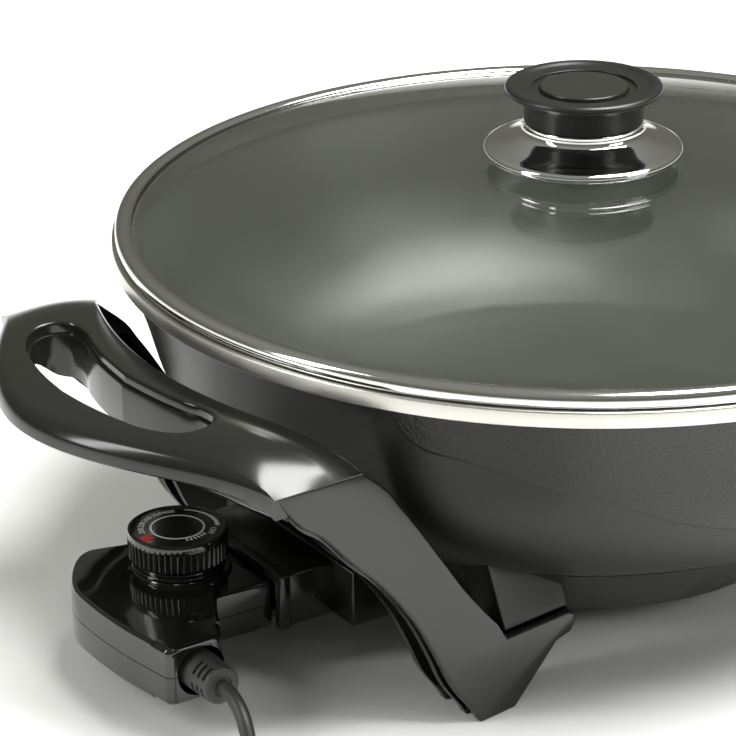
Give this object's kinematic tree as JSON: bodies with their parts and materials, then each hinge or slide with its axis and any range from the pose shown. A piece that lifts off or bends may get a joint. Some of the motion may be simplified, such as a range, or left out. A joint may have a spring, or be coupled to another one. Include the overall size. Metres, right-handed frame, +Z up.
{
  "type": "electric skillet",
  "caption": "Deep round electric skillet with a lift-off domed glass lid, arched handles that run down into legs, and a plug-in heat control with a dial and cord.",
  "frame": {"origin": "on the table under the middle of the pan, the bottom centre of the object without its cord", "axes": "+Z up, +X towards the plain handle, the plug-in heat control on -X with its cord leaving towards -Y"},
  "size_m": [0.4554, 0.3601, 0.1732],
  "materials": {
    "cast_pan": "cast aluminium, dark coated satin outside with a fine hammered texture, non-stick inside, bare machined rim band",
    "dark_sheet": "matt dark painted sheet steel",
    "handle_black": "satin-gloss black phenolic",
    "control_black": "glossy black moulded plastic",
    "polished_steel": "mirror-polished steel",
    "plain_steel": "plain bright steel",
    "lid_glass": "clear tempered glass with a faint grey-green tint",
    "ceramic": "unglazed white steatite",
    "contact_brass": "plain brass",
    "silicone": "grey silicone",
    "cord_rubber": "matt black flexible PVC"
  },
  "bodies": {
    "pan_unit": {"pan": "cast_pan", "heating_element": "plain_steel", "heater_housing": "dark_sheet", "housing_screw_1": "plain_steel", "housing_screw_2": "plain_steel", "housing_screw_3": "plain_steel", "housing_screw_4": "plain_steel", "terminal_pin_left": "plain_steel", "terminal_insulator_left": "ceramic", "terminal_pin_right": "plain_steel", "terminal_insulator_right": "ceramic", "receptacle_shroud": "handle_black", "shroud_screw_left": "plain_steel", "shroud_screw_right": "plain_steel", "handle_control_side": "handle_black", "handle_far_side": "handle_black", "leg_screw_1": "plain_steel", "leg_screw_2": "plain_steel", "leg_screw_3": "plain_steel", "leg_screw_4": "plain_steel"},
    "lid": {"lid_rim": "polished_steel", "lid_glass": "lid_glass", "knob_washer": "plain_steel", "knob_gasket": "silicone", "knob_skirt": "polished_steel", "knob_body": "handle_black", "knob_cap": "handle_black", "knob_screw": "plain_steel"},
    "heat_control": {"control_case_top": "control_black", "control_case_bottom": "control_black", "case_screw_1": "plain_steel", "case_screw_2": "plain_steel", "case_screw_3": "plain_steel", "dial_bezel": "control_black", "sensor_rod": "polished_steel", "contact_sleeve_left": "contact_brass", "contact_sleeve_right": "contact_brass", "thermostat_frame": "plain_steel", "contact_stack": "ceramic", "contact_blade_lower": "contact_brass", "contact_blade_upper": "contact_brass", "strain_relief": "cord_rubber", "cord": "cord_rubber", "cord_coil": "cord_rubber", "cord_tail": "cord_rubber", "cord_tie": "cord_rubber", "plug_body": "cord_rubber", "plug_blade_left": "contact_brass", "plug_blade_right": "contact_brass"},
    "dial": {"control_dial": "control_black", "dial_shaft": "contact_brass"}
  },
  "joints": [
    {"name": "lid_lift", "type": "slide", "parent": "pan_unit", "child": "lid", "axis": [0, 0, 1], "range_m": [0, 0.08]},
    {"name": "probe_pull", "type": "slide", "parent": "pan_unit", "child": "heat_control", "axis": [-1, 0, 0], "range_m": [0, 0.08]},
    {"name": "dial_turn", "type": "hinge", "parent": "heat_control", "child": "dial", "pos_m": [-0.1683, 0, 0.042], "axis": [0, 0, 1], "range_deg": [-280, 0]}
  ]
}
